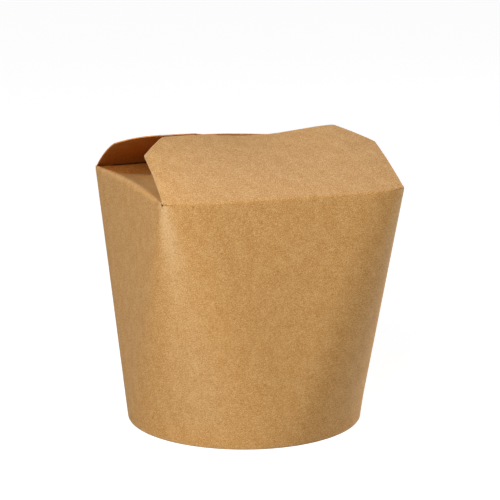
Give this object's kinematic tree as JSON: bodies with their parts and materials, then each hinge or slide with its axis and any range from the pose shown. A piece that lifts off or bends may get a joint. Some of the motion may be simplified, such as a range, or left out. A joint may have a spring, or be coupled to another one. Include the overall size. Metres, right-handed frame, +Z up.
{
  "type": "snack box",
  "caption": "Plain kraft-board snack or noodle box with a round foot, a squarish top, big hinged front and back flaps and tucked-in side flaps.",
  "frame": {"origin": "centre of the round foot, on the surface that the box stands on", "axes": "+Z up, -Y towards the front flap's fold, +X along that fold to the right"},
  "size_m": [0.1, 0.0986, 0.1187],
  "materials": {
    "kraft_board": "matte unbleached kraft with fine fibres",
    "kraft_base": "matte unbleached kraft with fine fibres"
  },
  "bodies": {
    "box": {"sleeve": "kraft_board", "bottom_disc": "kraft_base"},
    "front_flap": {"front_flap": "kraft_board"},
    "back_flap": {"back_flap": "kraft_board"}
  },
  "joints": [
    {"name": "front_fold", "type": "hinge", "parent": "box", "child": "front_flap", "pos_m": [0, -0.04877, 0.0984], "axis": [1, 0, 0], "range_deg": [-15, 125]},
    {"name": "back_fold", "type": "hinge", "parent": "box", "child": "back_flap", "pos_m": [0, 0.04877, 0.0984], "axis": [-1, 0, 0], "range_deg": [-15, 125]}
  ]
}
